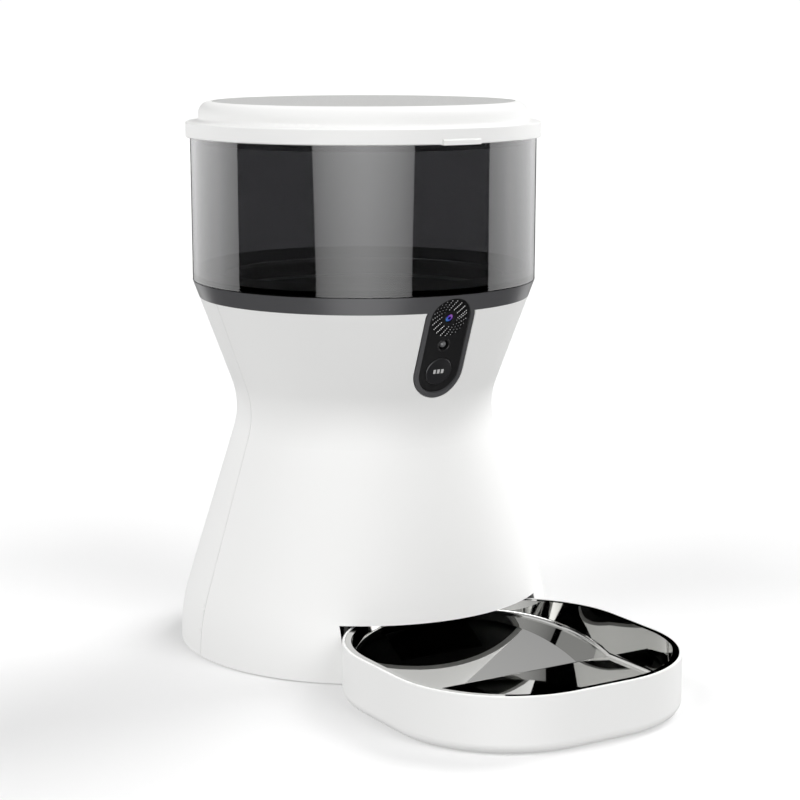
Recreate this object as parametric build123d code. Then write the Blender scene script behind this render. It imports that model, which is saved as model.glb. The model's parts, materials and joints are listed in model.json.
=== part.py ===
from build123d import *
import math
import os

# Automatic pet feeder: a waisted two-shell body with a smoked hopper and lift-off lid on top, a motor-driven
# metering rotor inside, a control tongue with camera and push button on the front, and a pull-out tray that
# holds a polished steel bowl. Sizes are in millimetres. The feeder stands on z = 0 and faces -Y. Everything
# is drawn round the body's own vertical axis and moved by FRAME at the end, so that the exported origin is
# the middle of the footprint.

# ---- body shells ----
FLOOR_GAP = 1.0            # the shells and the base plate stand this far above the floor, on rubber feet
BASE_R = 100.0             # outside radius at the foot
KNEE_Z = 17.3              # where the upright foot would meet the lower cone
KNEE_ROUND = 105.0
LOWER_SLOPE = 0.306        # radius lost per millimetre of height, foot to waist
WAIST_Z = 128.0
WAIST_ROUND = 42.0
UPPER_SLOPE = 0.370        # radius gained per millimetre of height, waist to ring
SHELL_TOP_Z = 186.0
WALL = 2.6                 # shell wall, measured level
SEAM = 0.25                # gap between the front and the rear shell
CUT_Z = 29.9               # height of the front opening over the bowl
OPEN_HALF = 59.3           # half width of the front opening
FIT = 0.3                  # gap between parts that are put together or slide

# ---- trim ring and control tongue ----
RING_TOP_Z = 194.7
RING_PLATE = 2.0           # thickness of the ring's top plate
RING_IN_R = 79.0
SKIRT_WALL = 1.6
LENS_Z = 182.0             # height of the lens on the front of the cone
SENSOR_DROP = 15.3         # lens to sensor, down the slope
BUTTON_DROP = 30.3         # lens to button, down the slope
TONGUE_R = 14.2
FACE_R = 11.8
FACE_DEPTH = 1.6           # top of the panel face below the tangent plane at the lens
FACE_WALL = 1.4
TONGUE_DEPTH = 4.6
LEDGE = 1.6                # width of the ledge that the panel face lies on
EDGE_ROUND = 0.5           # soft edge of the white shell where it meets the dark ring and tongue
GRILLE_R = 10.4
GRILLE_IN_R = 4.3
GRILLE_RINGS = 6
GRILLE_PITCH = 1.5         # distance between neighbouring holes of one ring
HOLE_R = 0.28
LENS_R = 2.5
SENSOR_R = 3.7
SENSOR_WALL = 0.8
DOME_SENSOR_R = 2.0        # clear dome of the presence sensor
BUTTON_R = 7.6
BUTTON_PROUD = 0.5
BUTTON_TRAVEL = 1.0
BOARD_DEPTH = 8.7          # top of the panel board below the tangent plane
BOARD_WALL = 1.2

# ---- hopper and lid ----
HOPPER_R = 91.0
HOPPER_WALL = 2.2
HOPPER_TOP_Z = 272.5
NECK_R = 76.5              # outside radius of the hopper's neck inside the ring
HOPPER_LEAN = 0.3          # the hopper is this much narrower at its foot, so that it leaves the mould
SLOPE_RISE = 4.9           # height of the sloping hopper floor at the wall
BAND_R = 93.3
BAND_Z = HOPPER_TOP_Z - 3.0
BAND_TOP_Z = HOPPER_TOP_Z + 4.9
DOME_R = 86.6
DOME_ROUND = 8.0
LID_TOP_Z = HOPPER_TOP_Z + 15.3
LID_WALL = 2.2
TOP_PANEL_R = 79.4
TOP_PANEL_WALL = 1.8
TAB_LEFT = -9.4
TAB_RIGHT = 12.5
TAB_Z = BAND_Z - 0.3
TAB_HEIGHT = 3.1
TAB_PROUD = 0.9
TAB_SLIT = 1.0
LINER_Z = HOPPER_TOP_Z - 6.5

# ---- feeding parts ----
FUNNEL_IN_R = 72.0
FUNNEL_WALL = 2.0
DRUM_R = 50.0              # inside radius of the metering drum
DRUM_TOP_Z = 126.0
DRUM_FLOOR_Z = 100.5
DRUM_FLOOR = 2.5
DRUM_WALL = 2.2
OUTLET_HALF_ANGLE = 27.0
ROTOR_VANES = 6
VANE_R = 43.0
VANE_WALL = 2.4
WIPER_R = 49.2
WIPER_WALL = 1.2
HUB_R = 9.0
SHAFT_R = 3.0
RUN_FIT = 0.08             # radial clearance of the turning shaft
MODULE = 0.8
WHEEL_TEETH = 40
PINION_TEETH = 10
OUTPUT_TEETH = 48
OUTPUT_PINION_TEETH = 12
GEAR_WALL = 4.0
CASE_Z = 65.5              # underside of the gearbox case
CASE_TOP_Z = 88.0
CASE_WALL = 2.0
AXLE_R = 1.5
MOTOR_R = 12.0
MOTOR_LENGTH = 22.0
CHUTE_WALL = 1.6

# ---- tray, bowl and niche ----
TRAY_HALF_W = 76.4
TRAY_HALF_L = 77.7
TRAY_Y = -141.2
TRAY_CORNER = 61.0
TRAY_Z = 0.6
RIM_Z = 28.5
TRAY_WALL = 2.2
TRAY_FOOT_ROUND = 5.0
RIM_EDGE = 1.3             # white edge left round the steel flange
FLANGE_W = 3.1
STEEL = 0.8
BOWL_FLOOR_Z = 6.5
RAMP_Y = -126.0            # where the bowl's floor starts to rise towards the back
RAMP_SLOPE = 0.285
BOWL_ROUND = 2.2
NICHE_GAP = 1.2
NICHE_WALL = 1.8

# ---- base, power and boards ----
BASE_WALL = 2.5
BAY_X = 53.0
BAY_Y = (-12.0, 62.0)
BAY_TOP_Z = 41.0
BAY_WALL = 1.8
CELL_R = 16.6
CELL_LENGTH = 61.5
COVER_WALL = 1.6
SCREW_R = 1.45
HEAD_R = 2.8
SOCKET_Z = 22.0
SOCKET_R = 5.5
FOOT_R = 7.0

# ---- derived places ----
WAIST_R = BASE_R - LOWER_SLOPE * (WAIST_Z - KNEE_Z)
TILT = math.atan(UPPER_SLOPE)
LENS_Y = -(WAIST_R + UPPER_SLOPE * (LENS_Z - WAIST_Z))
PANEL = Plane((0, LENS_Y, LENS_Z), x_dir=(1, 0, 0), z_dir=(0, -math.cos(TILT), -math.sin(TILT)))
FRAME = Location((0, (TRAY_HALF_L - TRAY_Y - BASE_R) / 2, 0))
BIG = 400.0

# ---- posts and screws ----
POST_R = 4.5
SHELL_POSTS = [(side * x, z) for x, z in ((72.0, 44.0), (64.0, 88.0)) for side in (-1, 1)]
BASE_POST_ANGLES = (-145.0, -35.0, 35.0, 145.0)      # measured from +X, so that none stands in the niche
BASE_POST_R = BASE_R - 7.0
BOARD_POSTS = [(side * 24.0, z) for z in (62.0, 96.0) for side in (-1, 1)]
BOARD_Y = 56.0
SCREW_SEAT_Y = 5.0
DRUM_EAR_ANGLES = (20, 160, 235, 305)

# ---- drive: output gear on the rotor's axis, then two compound gears and the motor's pinion ----
OUTPUT_AT = (0.0, 0.0)
SECOND_AT = (0.0, MODULE * (OUTPUT_TEETH + OUTPUT_PINION_TEETH) / 2)
WHEEL_STEP = MODULE * (WHEEL_TEETH + PINION_TEETH) / 2
FIRST_AT = (SECOND_AT[0] + WHEEL_STEP, SECOND_AT[1])
MOTOR_ANGLE = -45.0
MOTOR_AT = (FIRST_AT[0] + WHEEL_STEP * math.cos(math.radians(MOTOR_ANGLE)),
            FIRST_AT[1] + WHEEL_STEP * math.sin(math.radians(MOTOR_ANGLE)))
GEAR_GAP = 0.8
LEVEL_0 = CASE_Z + CASE_WALL + 0.6                   # motor pinion and first wheel
LEVEL_1 = LEVEL_0 + GEAR_WALL + GEAR_GAP             # first pinion and second wheel
LEVEL_2 = LEVEL_1 + GEAR_WALL + GEAR_GAP             # second pinion and output gear
BUSH_R = 5.0
CASE_POSTS = [(-13.0, 24.0), (28.0, 30.0), (-14.0, -8.0)]
CHUTE_TOP = (46.0, 30.0, -33.0)                      # width, depth and middle of the chute's upper end
CHUTE_LOW = (50.0, 22.0, -75.0)


def turned(points, rounds=()):
    """Solid of revolution about Z from (radius, height) points; rounds are (point, radius) pairs."""
    face = make_face(Polyline(*points, close=True))
    for point, radius in rounds:
        face = fillet(face.vertices().sort_by_distance(point)[0], radius)
    return revolve(Plane.XZ * face, Axis.Z)


def tube(outer, inner, low, high):
    return turned([(inner, low), (outer, low), (outer, high), (inner, high)])


def rod(radius, low, high, x=0.0, y=0.0):
    return Pos(x, y, (low + high) / 2) * Cylinder(radius, high - low)


def block(x, y, z):
    """Box between pairs of coordinates."""
    return Pos(sum(x) / 2, sum(y) / 2, sum(z) / 2) * Box(x[1] - x[0], y[1] - y[0], z[1] - z[0])


def rod_y(radius, low, high, x, z):
    return Pos(x, (low + high) / 2, z) * Rot(90, 0, 0) * Cylinder(radius, high - low)


def slab(outline, low, high):
    return Pos(0, 0, low) * extrude(outline, high - low)


def body_radius(z):
    """Outside radius of the sharp, unrounded body profile."""
    if z < KNEE_Z:
        return BASE_R
    if z < WAIST_Z:
        return BASE_R - LOWER_SLOPE * (z - KNEE_Z)
    return WAIST_R + UPPER_SLOPE * (z - WAIST_Z)


def body_solid(inset, low, high):
    """The body's outer shape, moved inwards by inset, between two heights."""
    points = [(0, low), (BASE_R - inset, low), (BASE_R - inset, KNEE_Z), (WAIST_R - inset, WAIST_Z),
              (body_radius(high) - inset, high), (0, high)]
    return turned(points, [(points[2], KNEE_ROUND), (points[3], WAIST_ROUND)])


def slot(length, radius):
    """Flat outline from the lens centre down to `length` below it, with round ends."""
    return Pos(0, -length / 2) * SlotCenterToCenter(length, 2 * radius, rotation=90)


def panel_solid(outline, deep, shallow):
    """Extrusion of an outline in the panel's own plane between two depths below the tangent plane."""
    return PANEL * Pos(0, 0, -deep) * extrude(outline, deep - shallow)


def panel_rod(radius, drop, deep, shallow, inner=0.0):
    outline = Circle(radius) - Circle(inner) if inner else Circle(radius)
    return panel_solid(Pos(0, -drop) * outline, deep, shallow)


def tray_outline(inset):
    wide, long = 2 * (TRAY_HALF_W - inset), 2 * (TRAY_HALF_L - inset)
    return Pos(0, TRAY_Y) * RectangleRounded(wide, long, TRAY_CORNER - inset)


def around(radius, angles):
    """Places on a circle round the body's axis."""
    return [(radius * math.cos(math.radians(a)), radius * math.sin(math.radians(a))) for a in angles]


def base_posts():
    return around(BASE_POST_R, BASE_POST_ANGLES)


def hollow_shell():
    """Both body halves in one, with the bosses that take the base screws."""
    inside = body_solid(WALL, FLOOR_GAP - 1, SHELL_TOP_Z + 1)
    shell = body_solid(0, FLOOR_GAP, SHELL_TOP_Z) - inside
    floor_top = FLOOR_GAP + BASE_WALL
    for x, y in base_posts():
        boss = rod(POST_R, floor_top, floor_top + 14, x, y) & body_solid(WALL / 2, FLOOR_GAP, SHELL_TOP_Z)
        shell += boss - rod(SCREW_R + 0.05, floor_top - 1, floor_top + 12, x, y)
    return shell


def front_shell(shell):
    front = shell & block((-BIG, BIG), (-BIG, -SEAM / 2), (0, BIG))
    inside = body_solid(WALL / 2, FLOOR_GAP, SHELL_TOP_Z)
    for x, z in SHELL_POSTS:
        front += rod_y(POST_R, -BIG / 3, -SEAM / 2, x, z) & inside
        front -= rod_y(SCREW_R + 0.05, -14, 1, x, z)
    front -= block((-OPEN_HALF, OPEN_HALF), (-BIG, -40), (-1, CUT_Z))
    front -= panel_solid(slot(BUTTON_DROP, TONGUE_R + FIT), 14, -14)
    return soften(front)


def soften(front):
    """Rounds the outer edge that borders the dark ring and tongue."""
    border = [edge for edge in front.edges() if on_border(edge)]
    return fillet(border, EDGE_ROUND)


def on_border(edge):
    """True for the outside edges of the notch, which lie on the body's skin beside the tongue."""
    spot = edge.center()
    flat = PANEL.to_local_coords(spot)
    outside = math.hypot(spot.X, spot.Y) > body_radius(spot.Z) - WALL / 2
    low_arc = math.hypot(flat.X, flat.Y + BUTTON_DROP)
    beside = abs(abs(flat.X) - TONGUE_R - FIT) < 0.2 and flat.Y > -BUTTON_DROP - 1
    below = abs(low_arc - TONGUE_R - FIT) < 0.6 and flat.Y < -BUTTON_DROP
    return outside and abs(edge.length) > 1.0 and (beside or below) and spot.Y < 0


def rear_shell(shell):
    rear = shell & block((-BIG, BIG), (SEAM / 2, BIG), (0, BIG))
    inside = body_solid(WALL / 2, FLOOR_GAP, SHELL_TOP_Z)
    for x, z in SHELL_POSTS:
        rear += rod_y(POST_R, SEAM / 2, BIG / 3, x, z) & inside
        rear -= rod_y(HEAD_R + 0.4, SCREW_SEAT_Y, BIG / 3, x, z)
        rear -= rod_y(SCREW_R + 0.2, -1, SCREW_SEAT_Y + 1, x, z)
    for x, z in BOARD_POSTS:
        rear += rod_y(2.6, BOARD_Y + BOARD_WALL, BIG / 3, x, z) & inside
        rear -= rod_y(1.1, BOARD_Y, BOARD_Y + 8, x, z)
    rear -= rod_y(SOCKET_R + FIT, BASE_R - 20, BIG / 3, 0, SOCKET_Z)
    rear -= rod_y(SOCKET_R + 3, BASE_R - 3.2, BIG / 3, 0, SOCKET_Z)
    return rear


def shell_screws():
    screws = []
    for x, z in SHELL_POSTS:
        head = rod_y(HEAD_R, SCREW_SEAT_Y, SCREW_SEAT_Y + 2.2, x, z)
        screws.append(rod_y(SCREW_R, -12, SCREW_SEAT_Y, x, z) + head)
    return screws


def trim_ring():
    """Dark ring between body and hopper, with the tongue that carries the controls."""
    low, high = SHELL_TOP_Z, RING_TOP_Z
    plate_z = high - RING_PLATE
    outer = body_radius
    ring = turned([(outer(low) - WALL, low), (outer(low), low), (outer(high), high), (RING_IN_R, high),
                   (RING_IN_R, low + 0.4), (RING_IN_R + SKIRT_WALL, low + 0.4),
                   (RING_IN_R + SKIRT_WALL, plate_z), (outer(plate_z) - WALL, plate_z)])
    lip_r = outer(low) - WALL - FIT
    ring += turned([(lip_r - SKIRT_WALL, low - 2.5), (lip_r - UPPER_SLOPE * 2.5, low - 2.5), (lip_r, low),
                    (outer(low + 2) - WALL + 0.2, low + 2), (lip_r - SKIRT_WALL, low + 2)])
    recess = panel_solid(slot(BUTTON_DROP, FACE_R), FACE_DEPTH + FACE_WALL, -14)
    recess += panel_solid(slot(BUTTON_DROP, FACE_R - LEDGE), TONGUE_DEPTH + 8, FACE_DEPTH)
    body = body_solid(0, FLOOR_GAP, high)
    tongue = panel_solid(slot(BUTTON_DROP, TONGUE_R), TONGUE_DEPTH, -14) & body
    return (ring - recess) + (tongue - recess)


def panel_face():
    face = panel_solid(slot(BUTTON_DROP, FACE_R - 0.1), FACE_DEPTH + FACE_WALL, FACE_DEPTH)
    face -= panel_rod(GRILLE_R, 0, 10, 0)
    face -= panel_rod(SENSOR_R, SENSOR_DROP, 10, 0)
    face -= panel_rod(BUTTON_R + 0.2, BUTTON_DROP, 10, 0)
    return face


def speaker_grille():
    """Ring of perforated plate round the lens."""
    outline = Circle(GRILLE_R) - Circle(GRILLE_IN_R)
    step = (GRILLE_R - GRILLE_IN_R - 1.2) / (GRILLE_RINGS - 1)
    for ring in range(GRILLE_RINGS):
        radius = GRILLE_IN_R + 0.6 + ring * step
        count = round(2 * math.pi * radius / GRILLE_PITCH)
        outline -= Rot(0, 0, ring * 180 / count) * PolarLocations(radius, count) * Circle(HOLE_R)
    return panel_solid(outline, FACE_DEPTH + 1.0, FACE_DEPTH)


def lens_ring():
    return panel_rod(GRILLE_IN_R, 0, FACE_DEPTH + FACE_WALL, FACE_DEPTH - 0.25, inner=LENS_R + 0.1)


def camera_lens():
    lens = panel_rod(LENS_R, 0, FACE_DEPTH + FACE_WALL, FACE_DEPTH + 0.5)
    crown = PANEL * Pos(0, 0, -FACE_DEPTH - 0.5 - 5.6) * Sphere(6.0)
    return lens + (crown & panel_rod(LENS_R, 0, FACE_DEPTH + 0.6, FACE_DEPTH - 1))


def camera_module():
    body = panel_solid(Rectangle(7.2, 7.2), 8.4, 5.2)
    return body + panel_rod(3.0, 0, 5.2, FACE_DEPTH + FACE_WALL)


def sensor_bezel():
    cup = rod(SENSOR_R, -6.0, 0.2 - FACE_DEPTH, 0, -SENSOR_DROP)
    cup -= rod(SENSOR_R - SENSOR_WALL, -5.0, 1.0, 0, -SENSOR_DROP)
    return PANEL * fillet(cup.faces().sort_by(Axis.Z)[-1].edges(), SENSOR_WALL * 0.4)


def sensor_dome():
    ball = PANEL * Pos(0, -SENSOR_DROP, -FACE_DEPTH - DOME_SENSOR_R) * Sphere(DOME_SENSOR_R)
    cup_floor = 5.0
    stem = panel_rod(DOME_SENSOR_R, SENSOR_DROP, cup_floor, FACE_DEPTH + DOME_SENSOR_R)
    return (ball & panel_rod(2 * DOME_SENSOR_R, SENSOR_DROP, cup_floor, 0)) + stem


def control_button():
    top = BUTTON_PROUD - FACE_DEPTH
    cap = rod(BUTTON_R, -5.2, top, 0, -BUTTON_DROP)
    cap = fillet(cap.faces().sort_by(Axis.Z)[-1].edges(), 0.6)
    cap -= Pos(0, -BUTTON_DROP, top + 59.6) * Sphere(60)
    return PANEL * cap + panel_rod(BUTTON_R + 0.9, BUTTON_DROP, 4.1, FACE_DEPTH + FACE_WALL + 0.2)


def tact_switch():
    return panel_solid(Pos(0, -BUTTON_DROP) * Rectangle(6, 6), BOARD_DEPTH, BOARD_DEPTH - 1.8) + panel_rod(
        1.7, BUTTON_DROP, BOARD_DEPTH - 1.8, BOARD_DEPTH - 2.3)


def panel_board():
    outline = Pos(0, -(2 + BUTTON_DROP + 7) / 2) * RectangleRounded(19, BUTTON_DROP + 5, 2)
    return panel_solid(outline, BOARD_DEPTH + BOARD_WALL, BOARD_DEPTH)


def micro_speaker():
    return panel_solid(Pos(0, -8) * RectangleRounded(17, 5.6, 1), 7.8, TONGUE_DEPTH + 0.2)


def microphone():
    return panel_rod(1.6, -7.0, 5.0, FACE_DEPTH + 1.0)


def hopper():
    base = RING_TOP_Z
    top = HOPPER_TOP_Z
    neck_in = NECK_R - HOPPER_WALL
    foot = HOPPER_R - HOPPER_LEAN
    points = [(neck_in, SHELL_TOP_Z + 1.8), (NECK_R, SHELL_TOP_Z + 1.8), (NECK_R, base), (foot, base),
              (HOPPER_R, top), (HOPPER_R - HOPPER_WALL, top), (foot - HOPPER_WALL, base + HOPPER_WALL),
              (neck_in, base + HOPPER_WALL)]
    return turned(points, [(points[6], 1.5), (points[3], 0.6), (points[4], 0.6), (points[5], 0.6)])


def hopper_floor():
    """Dark ring lying on the hopper's floor. Its slope leads the food from the wall to the neck."""
    low = RING_TOP_Z + HOPPER_WALL
    inner, outer = NECK_R - HOPPER_WALL + 0.2, HOPPER_R - HOPPER_LEAN - HOPPER_WALL - 0.2
    return turned([(inner, low), (outer - 1.6, low), (outer, low + 1.6), (outer, low + SLOPE_RISE),
                   (outer - 1.0, low + SLOPE_RISE), (inner, low + 0.6)])


def hopper_gasket():
    return tube(NECK_R + 0.2, NECK_R - HOPPER_WALL - 0.2, SHELL_TOP_Z + 0.4, SHELL_TOP_Z + 1.8)


def funnel():
    """Cone from the hopper's neck to the drum, with a shelf over the drum's outlet."""
    top, low = SHELL_TOP_Z + 0.4, DRUM_TOP_Z
    out = FUNNEL_IN_R + FUNNEL_WALL
    foot = DRUM_R + FUNNEL_WALL
    cone = turned([(DRUM_R, low), (foot, low), (foot, low + 5), (out, top - 1.6),
                   (RING_IN_R + SKIRT_WALL, top - 1.6), (RING_IN_R + SKIRT_WALL, top), (FUNNEL_IN_R, top),
                   (DRUM_R, low + 5)])
    cone -= block((-14, 14), (-BIG, -out - 0.6), (top - 4, top + 4))
    cone -= panel_solid(slot(BUTTON_DROP, TONGUE_R), 30, 0) & block((-BIG, BIG), (-BIG, -out - 0.6), (0, BIG))
    shelf = slab(sector(DRUM_R + 0.5, HUB_R + 3, OUTLET_HALF_ANGLE + 12), low, low + 1.8)
    cone += shelf
    for x, y in drum_ears():
        cone += rod(4.0, low, low + 5, x, y) - rod(DRUM_R + 1, 0, BIG)
        cone -= rod(SCREW_R + 0.05, low - 1, low + 6, x, y)
    for side in (-1, 1):
        cone -= Pos(side * 60, 0, 146) * Rot(0, 90, 0) * Cylinder(2.2, 20)
    return cone


def sector(outer, inner, half_angle):
    """Flat ring sector centred on -Y."""
    far = 2 * outer
    spread = far * math.tan(math.radians(half_angle))
    wedge = make_face(Polyline((0, 0), (spread, -far), (-spread, -far), close=True))
    return (Circle(outer) - Circle(inner)) & wedge


def drum_ears():
    return around(DRUM_R + 5.5, DRUM_EAR_ANGLES)


def metering_drum():
    low = DRUM_FLOOR_Z - DRUM_FLOOR
    drum = rod(DRUM_R + DRUM_WALL, low, DRUM_TOP_Z) - rod(DRUM_R, DRUM_FLOOR_Z, BIG)
    drum -= slab(sector(DRUM_R - 3, 17, OUTLET_HALF_ANGLE), low - 1, DRUM_FLOOR_Z + 1)
    drum -= rod(BUSH_R, low - 1, DRUM_FLOOR_Z + 1)
    for x, y in drum_ears():
        drum += rod(4.0, DRUM_TOP_Z - 6, DRUM_TOP_Z, x, y) - rod(DRUM_R + 1, 0, BIG)
        drum -= rod(SCREW_R + 0.2, DRUM_TOP_Z - 7, DRUM_TOP_Z + 1, x, y)
    for x, y in CASE_POSTS:
        drum += rod(3.2, CASE_TOP_Z, low, x, y) - rod(1.25, CASE_TOP_Z - 1, CASE_TOP_Z + 7, x, y)
    return drum


def drum_screws():
    seat = DRUM_TOP_Z - 6
    return [rod(SCREW_R, seat, DRUM_TOP_Z + 4, x, y) + rod(HEAD_R, seat - 2, seat, x, y)
            for x, y in drum_ears()]


def level_sensors():
    pair = []
    for side in (-1, 1):
        face_x = DRUM_R + FUNNEL_WALL + 2.5
        pair.append(Pos(side * (face_x + 4), 0, 146) * Rot(0, 90, 0) * Cylinder(2.0, 6))
    return pair


def gear(teeth, at, low, high, bore, toward, gap=False):
    """Spur gear with straight-flanked teeth. A tooth, or a gap if asked, faces `toward`, in degrees."""
    pitch_r = MODULE * teeth / 2
    tip_r, root_r = pitch_r + 0.85 * MODULE, pitch_r - 1.15 * MODULE
    step = 360 / teeth
    half_pitch = 0.215 * step
    lean = math.degrees(math.tan(math.radians(20)) * MODULE / pitch_r)
    start = toward + (step / 2 if gap else 0)
    points = []
    for tooth in range(teeth):
        middle = start + tooth * step
        for angle, radius in ((-half_pitch - lean * 1.15, root_r), (-half_pitch + lean * 0.85, tip_r),
                              (half_pitch - lean * 0.85, tip_r), (half_pitch + lean * 1.15, root_r)):
            turn = math.radians(middle + angle)
            points.append((radius * math.cos(turn), radius * math.sin(turn)))
    outline = make_face(Polyline(*points, close=True)) - Circle(bore)
    return Pos(at[0], at[1], low) * extrude(outline, high - low)


def output_gear():
    wheel = gear(OUTPUT_TEETH, OUTPUT_AT, LEVEL_2, LEVEL_2 + GEAR_WALL, SHAFT_R, 90)
    return wheel + tube(6.0, SHAFT_R, LEVEL_2 - 4, LEVEL_2)


def second_gear():
    low = gear(WHEEL_TEETH, SECOND_AT, LEVEL_1, LEVEL_1 + GEAR_WALL, AXLE_R + RUN_FIT, 0)
    top = LEVEL_2 + GEAR_WALL + 0.6
    high = gear(OUTPUT_PINION_TEETH, SECOND_AT, LEVEL_1 + GEAR_WALL, top, AXLE_R + RUN_FIT, -90, gap=True)
    return low + high


def first_gear():
    low = gear(WHEEL_TEETH, FIRST_AT, LEVEL_0, LEVEL_0 + GEAR_WALL, AXLE_R + RUN_FIT, MOTOR_ANGLE)
    high = gear(PINION_TEETH, FIRST_AT, LEVEL_0 + GEAR_WALL, LEVEL_1 + GEAR_WALL + 0.6, AXLE_R + RUN_FIT,
                180, gap=True)
    return low + high


def motor_pinion():
    top = LEVEL_0 + GEAR_WALL
    pinion = gear(PINION_TEETH, MOTOR_AT, LEVEL_0 - 0.2, top, 0.5, MOTOR_ANGLE + 180, gap=True)
    shaft = rod(1.0, CASE_Z - MOTOR_LENGTH + 2, top + 1, *MOTOR_AT)
    return pinion + shaft


def gear_motor():
    can = rod(MOTOR_R, CASE_Z - MOTOR_LENGTH, CASE_Z, *MOTOR_AT)
    can = chamfer(can.edges().filter_by(GeomType.CIRCLE), 0.8)
    can -= rod(1.0 + RUN_FIT, CASE_Z - MOTOR_LENGTH + 1.9, BIG, *MOTOR_AT)
    boss = tube(3.0, 1.0 + RUN_FIT, 0, CASE_WALL)
    return can + Pos(MOTOR_AT[0], MOTOR_AT[1], CASE_Z) * boss


def gear_axles():
    return [rod(AXLE_R, CASE_Z + 0.5, CASE_TOP_Z - 0.5, *place) for place in (FIRST_AT, SECOND_AT)]


def case_outline(grow):
    """One smooth outline round all the gears."""
    rims = ((OUTPUT_AT, OUTPUT_TEETH), (SECOND_AT, WHEEL_TEETH), (FIRST_AT, WHEEL_TEETH), (MOTOR_AT, 26))
    circles = [Pos(*at) * Circle(MODULE * teeth / 2 + 2.2 + grow) for at, teeth in rims]
    return make_hull([edge for circle in circles for edge in circle.edges()])


def gearbox_case():
    case = slab(case_outline(CASE_WALL), CASE_Z, CASE_TOP_Z - CASE_WALL)
    case -= slab(case_outline(0), CASE_Z + CASE_WALL, CASE_TOP_Z)
    for place in (FIRST_AT, SECOND_AT):
        case -= rod(AXLE_R, CASE_Z + 0.5, BIG, *place)
    case -= rod(3.0, CASE_Z - 1, CASE_Z + CASE_WALL + 1, *MOTOR_AT)
    case -= rod(SHAFT_R + RUN_FIT, CASE_Z + 0.6, BIG)
    return case


def gearbox_cover():
    cover = slab(case_outline(CASE_WALL), CASE_TOP_Z - CASE_WALL, CASE_TOP_Z)
    for x, y in CASE_POSTS:
        cover -= rod(1.5, CASE_TOP_Z - 5, CASE_TOP_Z + 1, x, y)
    for place in (FIRST_AT, SECOND_AT):
        cover -= rod(AXLE_R, 0, CASE_TOP_Z - 0.5, *place)
    return cover - rod(BUSH_R, 0, BIG)


def shaft_bushes():
    low = DRUM_FLOOR_Z - DRUM_FLOOR
    return [tube(BUSH_R, SHAFT_R + RUN_FIT, CASE_TOP_Z - CASE_WALL, CASE_TOP_Z),
            tube(BUSH_R, SHAFT_R + RUN_FIT, low, DRUM_FLOOR_Z)]


def rotor_shaft():
    return rod(SHAFT_R, CASE_Z + 0.8, 130)


def vane_angles():
    return [30 + i * 360 / ROTOR_VANES for i in range(ROTOR_VANES)]


def rotor():
    low, high = DRUM_FLOOR_Z + 0.5, DRUM_TOP_Z - 0.6
    wheel = rod(HUB_R, low, high)
    for angle in vane_angles():
        wheel += Rot(0, 0, angle) * block((HUB_R - 1, VANE_R), (-VANE_WALL / 2, VANE_WALL / 2), (low, high))
    return wheel - rod(SHAFT_R, low - 1, high + 1)


def rotor_wipers():
    low, high = DRUM_FLOOR_Z + 0.5, DRUM_TOP_Z - 0.6
    return [Rot(0, 0, angle) * block((VANE_R, WIPER_R), (-WIPER_WALL / 2, WIPER_WALL / 2), (low, high))
            for angle in vane_angles()]


def agitator():
    low = DRUM_TOP_Z - 0.6
    cone = turned([(0, low), (8.5, low), (7.5, low + 5), (3, low + 13), (0, low + 14)])
    for angle in (0, 120, 240):
        arm = block((3, 32), (-1.5, 1.5), (low + 5.5, low + 9))
        cone += Rot(0, 0, angle + 15) * arm
    return cone - rod(SHAFT_R, low - 1, 130)


def chute():
    """Duct from the drum's outlet down to the niche over the bowl."""
    return duct(2 * CHUTE_WALL) - duct(0)


def duct(grow):
    low, high = CUT_Z + 0.6 + NICHE_WALL, DRUM_FLOOR_Z - DRUM_FLOOR
    upper = Pos(0, CHUTE_TOP[2], high) * Rectangle(CHUTE_TOP[0] + grow, CHUTE_TOP[1] + grow)
    lower = Pos(0, CHUTE_LOW[2], low) * Rectangle(CHUTE_LOW[0] + grow, CHUTE_LOW[1] + grow)
    return loft([lower, upper])


def bowl_niche():
    """Dark pocket round the back of the bowl, closed above except for the chute's mouth."""
    low, ceiling = FLOOR_GAP, CUT_Z + 0.6
    outside = slab(tray_outline(-NICHE_GAP - NICHE_WALL), low, ceiling + NICHE_WALL)
    inside = slab(tray_outline(-NICHE_GAP), low - 1, ceiling)
    niche = (outside - inside) & body_solid(WALL + 0.2, low, BIG / 2.5)
    niche &= block((-BIG, BIG), (-BIG, 0), (0, BIG))
    return niche - block((-25, 25), (-86, -64), (ceiling - 1, ceiling + 9))


def base_plate():
    low, high = FLOOR_GAP, FLOOR_GAP + BASE_WALL
    plate = rod(BASE_R - WALL - 0.2, low, high)
    plate -= slab(tray_outline(-NICHE_GAP - NICHE_WALL - 0.2), low - 1, high + 1)
    plate -= block((-BAY_X, BAY_X), BAY_Y, (low - 1, high + 1))
    plate -= slab(cover_outline(0), low - 1, low + COVER_WALL)
    plate += rod(4, high, high + 7, 0, cover_screw_y())
    plate -= rod(SCREW_R + 0.05, low - 1, high + 6, 0, cover_screw_y())
    for x, y in base_posts():
        plate -= rod(SCREW_R + 0.2, low - 1, high + 1, x, y) + rod(HEAD_R + 0.2, low - 1, low + 1.2, x, y)
    for x, y in feet_places():
        plate -= rod(FOOT_R, low - 1, low + 0.8, x, y)
    return plate


def cover_screw_y():
    return BAY_Y[1] + 9


def cover_outline(inset):
    deep = BAY_Y[1] - BAY_Y[0] + 8 - 2 * inset
    plate = Pos(0, sum(BAY_Y) / 2) * RectangleRounded(2 * (BAY_X + 3 - inset), deep, 3)
    return plate + Pos(0, cover_screw_y() - 3) * RectangleRounded(16 - 2 * inset, 18 - 2 * inset, 3)


def battery_cover():
    cover = slab(cover_outline(FIT), FLOOR_GAP, FLOOR_GAP + COVER_WALL)
    return cover - rod(SCREW_R + 0.2, 0, 5, 0, cover_screw_y())


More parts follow.
